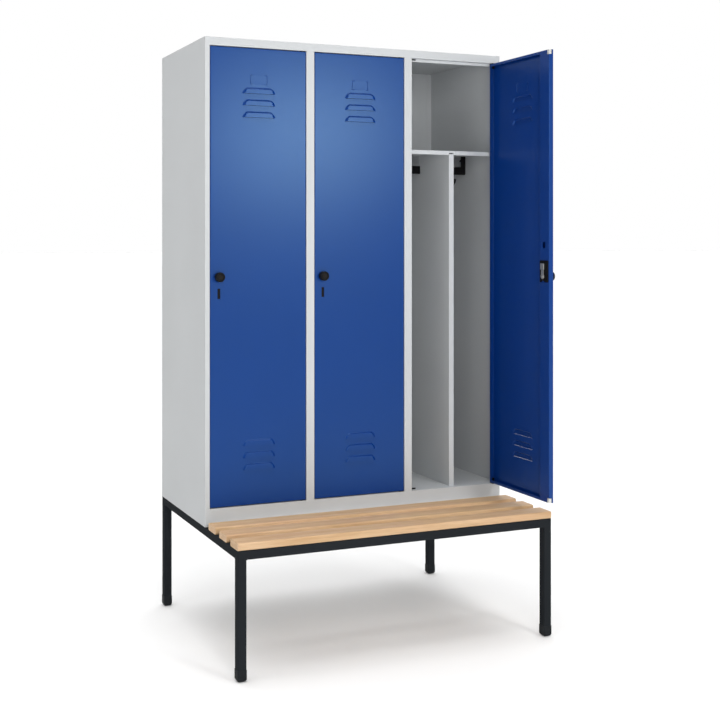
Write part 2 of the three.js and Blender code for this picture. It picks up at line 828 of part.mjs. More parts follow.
// Cam with a round hub, a waist and a thicker nose, standing up in the unlocked position
function lockCam() {
  const nose = camReach - camNoseLength;
  const outline = new THREE.Shape();
  outline.moveTo(lockX + camWaist, lockHeight);
  outline.lineTo(lockX + camWaist, lockHeight + nose);
  outline.lineTo(lockX + camHub, lockHeight + nose);
  outline.lineTo(lockX + camHub, lockHeight + camReach);
  outline.lineTo(lockX - camHub, lockHeight + camReach);
  outline.lineTo(lockX - camHub, lockHeight + nose);
  outline.lineTo(lockX - camWaist, lockHeight + nose);
  outline.lineTo(lockX - camWaist, lockHeight);
  return cut(
    join(
      alongY(outline, [camFront, camBack]),
      rodAlongY(camHub, lockX, lockHeight, [camFront, camBack]),
      block(
        [lockX - camHub, lockX + camHub],
        [camFront, camFront + camNoseThickness],
        [lockHeight + nose, lockHeight + camReach]
      )
    ),
    rodAlongY(spindleRadius + clearance, lockX, lockHeight, [camFront - overrun, camBack + overrun])
  );
}

// Bush: a plate in the gap between door and frame, with a sleeve through the door's end flange
function hingeBush(top) {
  const seat = top ? doorTop : doorBottom;
  const up = top ? 1 : -1;
  const ordered = (a, b) => [Math.min(a, b), Math.max(a, b)];
  const plate = roundedRectangle(
    [doorRight - bushPlateLength, doorRight - clearance],
    [doorFace + clearance, doorBack - clearance],
    [0, doorBend, 0, 0]
  );
  return cut(
    join(
      alongZ(plate, ordered(seat, seat + up * bushPlateHeight)),
      rodAlongZ(pinRadius + clearance + bushWall, 0, 0, ordered(seat - up * bushSleeve, seat + up * sheet))
    ),
    rodAlongZ(pinRadius + clearance, 0, 0, [seat - 2 * bushSleeve, seat + 2 * bushSleeve])
  );
}

// White corner glides on the free edge
function cornerGlide([bottom, top]) {
  return block(
    [doorLeft, doorLeft + glideWidth - clearance],
    [doorBack - glideDepth + clearance, doorBack],
    [bottom, top]
  );
}

for (const i of everyCompartment) {
  const door = new THREE.Group();
  door.position.set(hingeX(i), hingeInset, 0);
  if (i === compartments - 1) door.rotation.z = openAngle;
  const hang = (name, solid, material) => door.add(meshOf(`${name}_${i + 1}`, solid, material));
  hang('door_panel', doorPanel(), bluePaint);
  hang('door_stiffener', doorStiffener(), bluePaint);
  hang('lock_case', lockCase(), blackPlastic);
  hang('lock_knob', lockKnob(), blackPlastic);
  hang('lock_cam', lockCam(), zincPlate);
  hang('hinge_bush_top', hingeBush(true), blackPlastic);
  hang('hinge_bush_bottom', hingeBush(false), blackPlastic);
  hang('corner_glide_top', cornerGlide(glideEnds[0]), whitePlastic);
  hang('corner_glide_bottom', cornerGlide(glideEnds[1]), whitePlastic);
  cabinet.add(door);
}

export default locker;
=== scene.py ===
# A steel locker with three tall compartments, standing on a tube frame that carries a slatted bench.
# Metres, +Z up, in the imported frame: the cabinet's front faces -Y and its right door stands wide open.

import json
import math

import bmesh
import bpy
from mathutils import Matrix, Vector


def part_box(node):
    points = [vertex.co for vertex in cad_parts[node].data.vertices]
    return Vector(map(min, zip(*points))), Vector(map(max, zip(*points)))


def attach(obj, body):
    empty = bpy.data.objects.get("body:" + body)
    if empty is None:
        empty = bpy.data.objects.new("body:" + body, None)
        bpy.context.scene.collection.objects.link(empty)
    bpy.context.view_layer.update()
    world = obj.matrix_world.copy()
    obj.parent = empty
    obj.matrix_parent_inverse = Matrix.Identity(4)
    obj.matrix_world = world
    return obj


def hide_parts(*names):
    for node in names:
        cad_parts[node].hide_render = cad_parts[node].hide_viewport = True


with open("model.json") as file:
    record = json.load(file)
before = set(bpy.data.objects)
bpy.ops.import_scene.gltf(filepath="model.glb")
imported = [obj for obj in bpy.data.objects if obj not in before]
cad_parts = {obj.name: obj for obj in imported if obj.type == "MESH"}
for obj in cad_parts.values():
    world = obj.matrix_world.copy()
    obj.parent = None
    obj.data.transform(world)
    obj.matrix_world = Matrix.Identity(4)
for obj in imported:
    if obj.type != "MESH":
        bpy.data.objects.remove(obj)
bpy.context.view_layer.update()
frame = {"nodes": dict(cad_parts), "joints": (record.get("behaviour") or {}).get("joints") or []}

# Camera
# It stands level, to the left of the locker, where the photograph was taken from. The picture is shifted
# off the lens's axis, as the photograph's own framing is.
camera_place = (-1.8667, -3.6539, 1.4128)
camera_heading = math.radians(-20.4204)
lens_length = 54.896
film_width = 36.0
picture_side = 720
picture_axis = (222.972, 240.431)
camera_lens = bpy.data.cameras.new("camera")
camera_lens.lens = lens_length
camera_lens.sensor_width = film_width
camera_lens.shift_x = 0.5 - picture_axis[0] / picture_side
camera_lens.shift_y = picture_axis[1] / picture_side - 0.5
camera = bpy.data.objects.new("camera", camera_lens)
camera.location = camera_place
camera.rotation_euler = (math.pi / 2, 0.0, camera_heading)
bpy.context.scene.collection.objects.link(camera)
bpy.context.scene.camera = camera

# Studio
# A pale floor before a plain white backdrop, light from a surround that is bright behind the locker and
# overhead, and three soft lights: one in front, whose reflection lies across the upper half of the shut
# doors, one beside the camera, and one on the left.
floor_half = 120.0
floor_white = (0.92, 0.92, 0.92, 1.0)
floor_roughness = 0.9
floor_gloss = 0.1
surround_behind = (0.35, 0.937, 0.0)
surround_dim = 0.03
surround_bright = 0.97
surround_overhead = 3.4
behind_span = (0.25, 0.85)
overhead_span = (0.7, 1.0)
backdrop_white = 1.0
lights = {
    "front_light": {
        "aim": (-0.26, -0.074, 1.80), "heading": 24.2, "rise": 5.6, "distance": 5.0, "size": (1.1, 0.4),
        "power": 59.0,
    },
    "camera_light": {
        "aim": (0.1, 0.1, 1.30), "heading": -18.0, "rise": 10.5, "distance": 5.0, "size": (1.6, 2.0),
        "power": 68.0,
    },
    "left_light": {
        "aim": (0.0, 0.0, 1.70), "heading": -75.0, "rise": 30.0, "distance": 4.0, "size": (1.5, 1.5),
        "power": 18.0,
    },
}

bpy.context.scene.view_settings.view_transform = "Standard"
surround = bpy.data.worlds.new("surround")
surround.use_nodes = True
surround_tree = surround.node_tree
direction = surround_tree.nodes.new("ShaderNodeTexCoord")
brightness = surround_tree.nodes.new("ShaderNodeMath")
brightness.operation = "ADD"
for socket, axis, span, low, high in (
    (0, surround_behind, behind_span, surround_dim, surround_bright),
    (1, (0.0, 0.0, 1.0), overhead_span, 0.0, surround_overhead),
):
    toward = surround_tree.nodes.new("ShaderNodeVectorMath")
    toward.operation = "DOT_PRODUCT"
    toward.inputs[1].default_value = axis
    rise = surround_tree.nodes.new("ShaderNodeMapRange")
    rise.interpolation_type = "SMOOTHSTEP"
    rise.inputs["From Min"].default_value = span[0]
    rise.inputs["From Max"].default_value = span[1]
    rise.inputs["To Min"].default_value = low
    rise.inputs["To Max"].default_value = high
    surround_tree.links.new(direction.outputs["Generated"], toward.inputs[0])
    surround_tree.links.new(toward.outputs["Value"], rise.inputs["Value"])
    surround_tree.links.new(rise.outputs["Result"], brightness.inputs[socket])
seen = surround_tree.nodes.new("ShaderNodeLightPath")
backdrop = surround_tree.nodes.new("ShaderNodeMix")
backdrop.inputs["B"].default_value = backdrop_white
surround_tree.links.new(seen.outputs["Is Camera Ray"], backdrop.inputs["Factor"])
surround_tree.links.new(brightness.outputs["Value"], backdrop.inputs["A"])
surround_tree.nodes["Background"].inputs["Color"].default_value = (1.0, 1.0, 1.0, 1.0)
surround_tree.links.new(backdrop.outputs["Result"], surround_tree.nodes["Background"].inputs["Strength"])
bpy.context.scene.world = surround

floor_finish = bpy.data.materials.new("studio_floor")
floor_finish.use_nodes = True
floor_shader = floor_finish.node_tree.nodes["Principled BSDF"]
floor_shader.inputs["Base Color"].default_value = floor_white
floor_shader.inputs["Roughness"].default_value = floor_roughness
floor_shader.inputs["Specular IOR Level"].default_value = floor_gloss
floor_mesh = bpy.data.meshes.new("studio_floor")
floor_form = bmesh.new()
bmesh.ops.create_grid(floor_form, x_segments=1, y_segments=1, size=floor_half)
floor_form.to_mesh(floor_mesh)
floor_form.free()
floor_mesh.materials.append(floor_finish)
studio_floor = bpy.data.objects.new("studio_floor", floor_mesh)
bpy.context.scene.collection.objects.link(studio_floor)

for name, facts in lights.items():
    lamp = bpy.data.lights.new(name, "AREA")
    lamp.shape = "RECTANGLE"
    lamp.size, lamp.size_y = facts["size"]
    lamp.energy = facts["power"]
    heading, rise = math.radians(facts["heading"]), math.radians(facts["rise"])
    toward = Vector(
        (math.sin(heading) * math.cos(rise), -math.cos(heading) * math.cos(rise), math.sin(rise))
    )
    light = bpy.data.objects.new(name, lamp)
    light.location = Vector(facts["aim"]) + toward * facts["distance"]
    light.rotation_euler = toward.to_track_quat("Z", "Y").to_euler()
    bpy.context.scene.collection.objects.link(light)

# Cabinet
# Side walls, top, floor, back and two partitions, folded from steel sheet, welded together and coated with
# light grey powder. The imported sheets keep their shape; their folds are only shaded round here.
light_grey = (0.584, 0.602, 0.612)
grey_roughness = 0.42
grey_gloss = 0.12
coat_cloud_size = 0.35
coat_speck_size = 0.012
coat_speck_change = 0.008
peel_size = 0.0022
peel_depth = 0.000008
fold_angle = math.radians(38.0)
flat_weight = 80
touching = 0.00002


def new_finish(name):
    """A node material, with its tree, its shader and the coordinates that its patterns read."""
    material = bpy.data.materials.new(name)
    material.use_nodes = True
    tree = material.node_tree
    place = tree.nodes.new("ShaderNodeTexCoord")
    return material, tree, tree.nodes["Principled BSDF"], place.outputs["Object"]


def pattern(tree, place, size, detail=2.0, stretch=(1.0, 1.0, 1.0), shift=(0.0, 0.0, 0.0)):
    """Noise whose blotches are about size across, drawn out along the axes by stretch."""
    mapping = tree.nodes.new("ShaderNodeMapping")
    mapping.inputs["Scale"].default_value = [1.0 / (size * drawn) for drawn in stretch]
    mapping.inputs["Location"].default_value = shift
    noise = tree.nodes.new("ShaderNodeTexNoise")
    noise.inputs["Scale"].default_value = 1.0
    noise.inputs["Detail"].default_value = detail
    tree.links.new(place, mapping.inputs["Vector"])
    tree.links.new(mapping.outputs["Vector"], noise.inputs["Vector"])
    return noise.outputs["Fac"]


def spread(tree, value, low, high, from_low=0.3, from_high=0.7):
    """The noise value, spread from low to high."""
    ranged = tree.nodes.new("ShaderNodeMapRange")
    ranged.inputs["From Min"].default_value = from_low
    ranged.inputs["From Max"].default_value = from_high
    ranged.inputs["To Min"].default_value = low
    ranged.inputs["To Max"].default_value = high
    tree.links.new(value, ranged.inputs["Value"])
    return ranged.outputs["Result"]


def blended(tree, share, first, second):
    """A colour between two others."""
    mix = tree.nodes.new("ShaderNodeMix")
    mix.data_type = "RGBA"
    for socket, colour in (("A_Color", first), ("B_Color", second)):
        spot = next(entry for entry in mix.inputs if entry.identifier == socket)
        if isinstance(colour, bpy.types.NodeSocket):
            tree.links.new(colour, spot)
        else:
            spot.default_value = (*colour, 1.0)
    factor = next(entry for entry in mix.inputs if entry.identifier == "Factor_Float")
    tree.links.new(share, factor)
    return next(entry for entry in mix.outputs if entry.identifier == "Result_Color")


def bumps(tree, shader, height, depth):
    """Relief of the given depth in the surface."""
    bump = tree.nodes.new("ShaderNodeBump")
    bump.inputs["Strength"].default_value = 1.0
    bump.inputs["Distance"].default_value = depth
    tree.links.new(height, bump.inputs["Height"])
    tree.links.new(bump.outputs["Normal"], shader.inputs["Normal"])


def powder_coat(name, paint, roughness, gloss, shade=0.04, tint=(1.0, 1.0, 1.0)):
    """Stoved powder paint: a faint orange peel, and a finish that varies a little over a sheet."""
    material, tree, shader, place = new_finish(name)
    darker = [part * (1.0 - shade) for part in paint]
    cloud = spread(tree, pattern(tree, place, coat_cloud_size), 0.0, 1.0)
    tree.links.new(blended(tree, cloud, paint, darker), shader.inputs["Base Color"])
    specks = pattern(tree, place, coat_speck_size)
    specks = spread(tree, specks, roughness - coat_speck_change, roughness + coat_speck_change)
    tree.links.new(specks, shader.inputs["Roughness"])
    shader.inputs["Specular IOR Level"].default_value = gloss
    shader.inputs["Specular Tint"].default_value = (*tint, 1.0)
    bumps(tree, shader, pattern(tree, place, peel_size, detail=1.0), peel_depth)
    return material


def fold_shading():
    """Joins a packed sheet's loose triangles and shades its folds round, but its corners sharp."""
    group = bpy.data.node_groups.new("fold_shading", "GeometryNodeTree")
    group.interface.new_socket("Geometry", in_out="INPUT", socket_type="NodeSocketGeometry")
    group.interface.new_socket("Geometry", in_out="OUTPUT", socket_type="NodeSocketGeometry")
    start = group.nodes.new("NodeGroupInput")
    end = group.nodes.new("NodeGroupOutput")
    merge = group.nodes.new("GeometryNodeMergeByDistance")
    merge.inputs["Distance"].default_value = touching
    angle = group.nodes.new("GeometryNodeInputMeshEdgeAngle")
    sharp = group.nodes.new("FunctionNodeCompare")
    sharp.operation = "LESS_THAN"
    sharp.inputs["B"].default_value = fold_angle
    faces = group.nodes.new("GeometryNodeSetShadeSmooth")
    edges = group.nodes.new("GeometryNodeSetShadeSmooth")
    edges.domain = "EDGE"
    group.links.new(start.outputs[0], merge.inputs["Geometry"])
    group.links.new(merge.outputs["Geometry"], faces.inputs["Geometry"])
    group.links.new(faces.outputs["Geometry"], edges.inputs["Geometry"])
    group.links.new(angle.outputs["Unsigned Angle"], sharp.inputs["A"])
    group.links.new(sharp.outputs["Result"], edges.inputs["Shade Smooth"])
    group.links.new(edges.outputs["Geometry"], end.inputs[0])
    return group


round_folds = fold_shading()


def weigh_flats(piece):
    """Keeps broad flat faces evenly shaded up to their rounded edges."""
    weights = piece.modifiers.new("flat_faces", "WEIGHTED_NORMAL")
    weights.keep_sharp = True
    weights.weight = flat_weight


def dress(node, material):
    """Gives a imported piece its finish."""
    piece = frame["nodes"][node]
    piece.data.materials.clear()
    piece.data.materials.append(material)
    shading = piece.modifiers.new("round_folds", "NODES")
    shading.node_group = round_folds
    weigh_flats(piece)


grey_paint = powder_coat("light_grey_powder", light_grey, grey_roughness, grey_gloss)
sheets = ("wall_left", "wall_right", "back_panel", "top_panel", "floor_panel", "partition_1", "partition_2")
for node in sheets:
    dress(node, grey_paint)

# Hat shelves and dividers
# Each compartment has a shelf with a folded front lip, and under it a folded divider that parts clean clothes
# from work clothes. Both are grey like the cabinet.
compartments = (1, 2, 3)
for i in compartments:
    dress(f"hat_shelf_{i}", grey_paint)
    dress(f"divider_{i}", grey_paint)

# Coat rails
# A flat blade of black moulded plastic on two legs hangs under each shelf and passes through the divider.
moulded_black = (0.006, 0.006, 0.0065)
black_roughness = 0.38
black_gloss = 0.09
plastic_paler = 1.3
plastic_cloud_size = 0.02
plastic_worn_size = 0.006
plastic_worn_change = 0.05
plastic_grain_size = 0.0009
plastic_grain_depth = 0.00003


def moulded(name, colour, roughness, gloss=0.5):
    """Moulded plastic with a fine spark-eroded grain."""
    material, tree, shader, place = new_finish(name)
    paler = [part * plastic_paler for part in colour]
    cloud = spread(tree, pattern(tree, place, plastic_cloud_size), 0.0, 1.0)
    tree.links.new(blended(tree, cloud, colour, paler), shader.inputs["Base Color"])
    worn = pattern(tree, place, plastic_worn_size)
    worn = spread(tree, worn, roughness - plastic_worn_change, roughness + plastic_worn_change)
    tree.links.new(worn, shader.inputs["Roughness"])
    shader.inputs["Specular IOR Level"].default_value = gloss
    bumps(tree, shader, pattern(tree, place, plastic_grain_size, detail=1.0), plastic_grain_depth)
    return material


black_plastic = moulded("black_plastic", moulded_black, black_roughness, gloss=black_gloss)
for i in compartments:
    dress(f"coat_rail_{i}", black_plastic)

# Coat hooks
# Two double hooks of black moulded plastic sit on each rail: a saddle over the blade, a stem below it, and
# two round arms that curve up and end in a knob, so that a loop can't slip off.
saddle_height = 0.040
saddle_rounding = 0.0018
stem_half = 0.006
stem_depth = 0.0045
arm_thick = 0.0095
arm_tip = 0.0048
arm_sweep = math.radians(82.0)
arm_steps = 10
arm_sides = 14
smooth_angle = math.radians(40.0)


def round_edges(form, edges, rounding, steps):
    """Rounds these edges of the form."""
    bmesh.ops.bevel(
        form, geom=edges, offset=rounding, offset_type="OFFSET", affect="EDGES",
        segments=steps, profile=0.5, material=-1, clamp_overlap=True,
    )


def add_block(form, low, high, rounding, steps=3, along=None):
    """A block between two corners with rounded edges, or rounded only along one axis."""
    low, high = Vector(low), Vector(high)
    place = Matrix.Translation((low + high) / 2) @ Matrix.Diagonal((*(high - low), 1.0))
    corners = bmesh.ops.create_cube(form, size=1.0, matrix=place)["verts"]
    edges = {edge for corner in corners for edge in corner.link_edges}
    if along is not None:
        edges = {
            edge for edge in edges
            if abs((edge.verts[1].co - edge.verts[0].co).normalized()[along]) > 0.9
        }
    round_edges(form, list(edges), rounding, steps)


def add_turning(form, profile, place, steps=48):
    """A turned shape: a profile of (radius, height) spun round its own Z axis, then put in place."""
    turned = bmesh.new()
    points = [turned.verts.new((radius, 0.0, height)) for radius, height in profile]
    lines = [turned.edges.new(pair) for pair in zip(points, points[1:])]
    bmesh.ops.spin(
        turned, geom=points + lines, cent=(0.0, 0.0, 0.0), axis=(0.0, 0.0, 1.0), dvec=(0.0, 0.0, 0.0),
        angle=2.0 * math.pi, steps=steps, use_merge=True, use_duplicate=False,
    )
    bmesh.ops.remove_doubles(turned, verts=turned.verts, dist=touching)
    bmesh.ops.recalc_face_normals(turned, faces=turned.faces)
    bmesh.ops.transform(turned, matrix=place, verts=turned.verts)
    spun = bpy.data.meshes.new("turning")
    turned.to_mesh(spun)
    turned.free()
    form.from_mesh(spun)
    bpy.data.meshes.remove(spun)


def smoothed(mesh):
    """The mesh, shaded smooth but for its sharp edges."""
    mesh.shade_smooth()
    mesh.set_sharp_from_angle(angle=smooth_angle)
    return mesh


def shaded(form, thickness=0.0):
    """The form's mesh, shaded smooth, and given its sheet's thickness inwards."""
    mesh = bpy.data.meshes.new("blank")
    form.to_mesh(mesh)
    form.free()
    if thickness:
        blank = bpy.data.objects.new("blank", mesh)
        bpy.context.scene.collection.objects.link(blank)
        wall = blank.modifiers.new("wall", "SOLIDIFY")
        wall.thickness = thickness
        wall.offset = -1.0
        graph = bpy.context.evaluated_depsgraph_get()
        thick = bpy.data.meshes.new_from_object(blank.evaluated_get(graph))
        bpy.data.objects.remove(blank)
        bpy.data.meshes.remove(mesh)
        mesh = thick
    return smoothed(mesh)


def show(name, mesh, material, body, nodes=(), place=Matrix.Identity(4)):
    """Shows a copy of the mesh, put in place, as a piece of the given body."""
    own = mesh.copy()
    own.name = name
    own.transform(place)
    own.materials.clear()
    own.materials.append(material)
    piece = bpy.data.objects.new(name, own)
    bpy.context.scene.collection.objects.link(piece)
    weigh_flats(piece)
    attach(piece, body)
    if nodes:
        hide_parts(*nodes)


def coat_hook(node):
    """One double hook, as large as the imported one."""
    low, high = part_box(node)
    middle = (low + high) / 2
    reach = (high.x - low.x) / 2
    root = low.z + arm_thick / 2
    saddle_low = high.z - saddle_height
    form = bmesh.new()
    add_block(
        form, (middle.x - reach / 4, low.y, saddle_low), (middle.x + reach / 4, high.y, high.z),
        saddle_rounding,
    )
    add_block(
        form, (middle.x - stem_half, middle.y - stem_depth, low.z),
        (middle.x + stem_half, middle.y + stem_depth, saddle_low + saddle_rounding), saddle_rounding,
    )
    arc = reach - arm_tip
    for side in (-1, 1):
        ring = bmesh.ops.create_circle(
            form, segments=arm_sides, radius=arm_thick / 2,
            matrix=Matrix.Translation((middle.x, middle.y, root)) @ Matrix.Rotation(math.pi / 2, 4, "Y"),
        )["verts"]
        rim = {edge for corner in ring for edge in corner.link_edges}
        bmesh.ops.spin(
            form, geom=list(rim) + ring, cent=(middle.x, middle.y, root + arc), axis=(0.0, 1.0, 0.0),
            dvec=(0.0, 0.0, 0.0), angle=-side * arm_sweep, steps=arm_steps,
            use_merge=False, use_duplicate=False,
        )
        tip_x = middle.x + side * arc * math.sin(arm_sweep)
        tip_z = root + arc * (1.0 - math.cos(arm_sweep))
        bmesh.ops.create_icosphere(
            form, subdivisions=3, radius=arm_tip, matrix=Matrix.Translation((tip_x, middle.y, tip_z)),
        )
    bmesh.ops.remove_doubles(form, verts=form.verts, dist=touching)
    bmesh.ops.recalc_face_normals(form, faces=form.faces)
    return shaded(form)


for i in compartments:
    for side in ("left", "right"):
        node = f"coat_hook_{side}_{i}"
        show(f"double_hook_{side}_{i}", coat_hook(node), black_plastic, "root", [node])

# Slot covers
# A small grey steel strip is spot-welded over the slot in each divider, above the coat rail's blade, and
# closes what the rail leaves open there.
steel_sheet = 0.001
cover_sheet = 0.0008
cover_overlap = 0.0035
cover_bend = 0.0002
blade_height = 0.031
for i in compartments:
    rail_low, rail_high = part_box(f"coat_rail_{i}")
    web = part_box(f"divider_{i}")[0].x + steel_sheet
    slot_cover = bmesh.new()
    add_block(
        slot_cover, (web, rail_low.y - cover_overlap, rail_low.z + blade_height),
        (web + cover_sheet, rail_high.y + cover_overlap, rail_high.z), cover_bend, steps=1,
    )
    show(f"slot_cover_{i}", shaded(slot_cover), grey_paint, "root")

# Bench frame
# Two end frames and two cross rails, welded from 30 mm square steel tube and coated black. The welds are left
# as low beads under the paint, and are ground flush on the outside.
tube_rounding = 0.003
bead_proud = 0.0006
bead_half = 0.002
flush = 0.0001
frame_black = (0.0212, 0.0241, 0.0276)
frame_roughness = 0.7
frame_gloss = 0.02
frame_shade = 0.15

black_paint = powder_coat("black_powder", frame_black, frame_roughness, frame_gloss, shade=frame_shade)
tube_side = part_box("bench_rail_front")[1].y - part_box("bench_rail_front")[0].y


def add_bead(form, low, high, outer_low, outer_high):
    """A weld bead round the end of a tube, kept inside the frame's own outside faces."""
    low = [max(value, edge + flush) for value, edge in zip(low, outer_low)]
    high = [min(value, edge - flush) for value, edge in zip(high, outer_high)]
    add_block(form, low, high, bead_proud, steps=2)


for side in ("left", "right"):
    low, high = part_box(f"bench_end_{side}")
    under = high.z - tube_side
    form = bmesh.new()
    for front in (low.y, high.y - tube_side):
        add_block(form, (low.x, front, low.z), (high.x, front + tube_side, high.z), tube_rounding, 4, along=2)
    add_block(
        form, (low.x, low.y + tube_side, under), (high.x, high.y - tube_side, high.z),
        tube_rounding, 4, along=1,
    )
    inner_low = (low.x if side == "left" else low.x - tube_side, low.y, low.z)
    inner_high = (high.x if side == "right" else high.x + tube_side, high.y, high.z)
    for seam in (low.y + tube_side, high.y - tube_side):
        add_bead(
            form, (low.x - bead_proud, seam - bead_half, under - bead_proud),
            (high.x + bead_proud, seam + bead_half, high.z), inner_low, inner_high,
        )
    show(f"end_frame_{side}", shaded(form), black_paint, "root", [f"bench_end_{side}"])

for where in ("front", "rear"):
    low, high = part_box(f"bench_rail_{where}")
    form = bmesh.new()
    add_block(form, low, high, tube_rounding, 4, along=0)
    inner_low = (low.x - tube_side, low.y, low.z - tube_side)
    inner_high = (high.x + tube_side, high.y, high.z)
    if where == "front":
        inner_high = (inner_high[0], high.y + tube_side, high.z)
    else:
        inner_low = (inner_low[0], low.y - tube_side, inner_low[2])
    for seam in (low.x, high.x):
        add_bead(
            form, (seam - bead_half, low.y - bead_proud, low.z - bead_proud),
            (seam + bead_half, high.y + bead_proud, high.z), inner_low, inner_high,
        )
    show(f"cross_rail_{where}", shaded(form), black_paint, "root", [f"bench_rail_{where}"])

# Foot caps
# Caps of black plastic are pushed over the leg ends. They are thick and rounded below, and end in a thin lip
# round the leg.
cap_black = (0.0165, 0.0185, 0.0205)
cap_roughness = 0.5
cap_gloss = 0.05
cap_corner_rounding = 0.004
cap_bottom_rounding = 0.010
cap_bottom_steps = 7
cap_lip_rounding = 0.0009
cap_plastic = moulded("cap_plastic", cap_black, cap_roughness, gloss=cap_gloss)


def edges_at(form, axis, place):
    """The form's edges that lie at one place along an axis."""
    return [edge for edge in form.edges if all(abs(v.co[axis] - place) < touching for v in edge.verts)]


for across in ("left", "right"):
    for where in ("front", "rear"):
        node = f"foot_{where}_{across}"
        low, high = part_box(node)
        middle = (low + high) / 2
        half = (high.x - low.x) / 2
        form = bmesh.new()
        add_block(form, (low.x, low.y, low.z + cap_bottom_rounding), high, cap_corner_rounding, 5, along=2)
        round_edges(form, edges_at(form, 2, high.z), cap_lip_rounding, 3)
        sole = [face for face in form.faces if face.normal.z < -0.9]
        before, deep = half, 0.0
        for k in range(1, cap_bottom_steps + 1):
            turn = math.pi / 2 * k / cap_bottom_steps
            after = half - cap_bottom_rounding * (1.0 - math.cos(turn))
            lower = cap_bottom_rounding * math.sin(turn)
            sole = bmesh.ops.extrude_discrete_faces(form, faces=sole)["faces"]
            corners = list({corner for face in sole for corner in face.verts})
            bmesh.ops.scale(
                form, vec=(after / before, after / before, 1.0), verts=corners,
                space=Matrix.Translation((-middle.x, -middle.y, 0.0)),
            )
            bmesh.ops.translate(form, vec=(0.0, 0.0, deep - lower), verts=corners)
            before, deep = after, lower
        bmesh.ops.recalc_face_normals(form, faces=form.faces)
        show(f"foot_cap_{where}_{across}", shaded(form), cap_plastic, "root", [node])

# Seat slats
# Three planed beech slats with rounded edges lie across the end frames, clear lacquered, each screwed on from
# below.
slat_rounding = 0.005
slat_end_rounding = 0.0012
beech_pale = (0.70, 0.49, 0.285)
beech_deep = (0.55, 0.335, 0.160)
beech_pink = (0.64, 0.400, 0.240)
beech_pore = (0.40, 0.25, 0.13)
streak_size = 0.020
streak_stretch = (16.0, 1.0, 1.0)
blush_size = 0.050
blush_stretch = (5.0, 1.0, 1.0)
blush_shift = (3.0, 1.0, 2.0)
blush_share = 0.6
pore_size = 0.0026
pore_stretch = (30.0, 1.0, 1.0)
pore_span = (0.45, 0.75)
pore_share = 0.35
pore_depth = 0.00008
lacquer_roughness = (0.42, 0.55)
lacquer_gloss = 0.35


def share_of(tree, value, share):
    """The value, made smaller."""
    times = tree.nodes.new("ShaderNodeMath")
    times.operation = "MULTIPLY"
    times.inputs[1].default_value = share
    tree.links.new(value, times.inputs[0])
    return times.outputs["Value"]


def planed_beech():
    """Beech: long soft streaks, short dark pores along the grain, and a clear satin lacquer."""
    material, tree, shader, place = new_finish("planed_beech")
    streaks = pattern(tree, place, streak_size, detail=3.0, stretch=streak_stretch)
    blush = pattern(tree, place, blush_size, stretch=blush_stretch, shift=blush_shift)
    pores = pattern(tree, place, pore_size, detail=3.0, stretch=pore_stretch)
    fine = spread(tree, pores, 0.0, 1.0, *pore_span)
    wood = blended(tree, spread(tree, streaks, 0.0, 1.0), beech_pale, beech_deep)
    wood = blended(tree, share_of(tree, spread(tree, blush, 0.0, 1.0), blush_share), wood, beech_pink)
    wood = blended(tree, share_of(tree, fine, pore_share), wood, beech_pore)
    tree.links.new(wood, shader.inputs["Base Color"])
    tree.links.new(spread(tree, fine, *lacquer_roughness, 0.0, 1.0), shader.inputs["Roughness"])
    shader.inputs["Specular IOR Level"].default_value = lacquer_gloss
    bumps(tree, shader, fine, -pore_depth)
    return material


beech = planed_beech()
for node in ("seat_slat_front", "seat_slat_middle", "seat_slat_rear"):
    low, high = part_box(node)
    form = bmesh.new()
    add_block(form, low, high, slat_rounding, steps=6, along=0)
    round_edges(form, edges_at(form, 0, low.x) + edges_at(form, 0, high.x), slat_end_rounding, 2)
    show(node.replace("seat_slat", "beech_slat"), shaded(form), beech, "root", [node])

# Door panels
# Each door is a tray folded from one sheet and coated blue. Two sets of three louvres and a frame for a name
# label are pressed into its skin, and its edges are folded back, with an inner lip on three sides.
door_blue = (0.0005, 0.0315, 0.206)
blue_roughness = 0.32
blue_gloss = 0.51
blue_shade = 0.06
blue_sheen_tint = (0.46, 0.78, 1.0)
door_sheet = 0.001
door_thickness = 0.0185
front_bend = 0.0025
back_bend = 0.0015
door_lip = 0.010
bend_steps = 5
louvre_half = 0.062
louvre_top_half = 0.050
louvre_height = 0.0205
louvre_depth = 0.0052
louvre_slope = 0.0047
louvre_corner = 0.009
louvre_pitch = 0.042
top_louvre_drop = 0.1595
bottom_louvre_rise = 0.1240
label_half = (0.033, 0.017)
label_rim = 0.0025
label_shoulder = 0.000625
label_relief = 0.0008
label_end_relief = 0.0002
label_tab = 0.006
label_tab_relief = 0.0018
label_drop = 0.110
lock_inset = 0.032
lock_rise = 0.800
hole_radius = 0.0103
slot_half_width = 0.005
slot_half_height = 0.018
slot_drop = 0.058
fine_step = 0.00125
stiffener_width = 0.054
stiffener_clear = 0.0001
glide_room = 0.0003
glide_tall = 0.017
# How far up the skin the louvres' free edges are set, which narrows or widens what shows of their slits
top_mouth_lift = 0.0004
bottom_mouth_lift = -0.00098

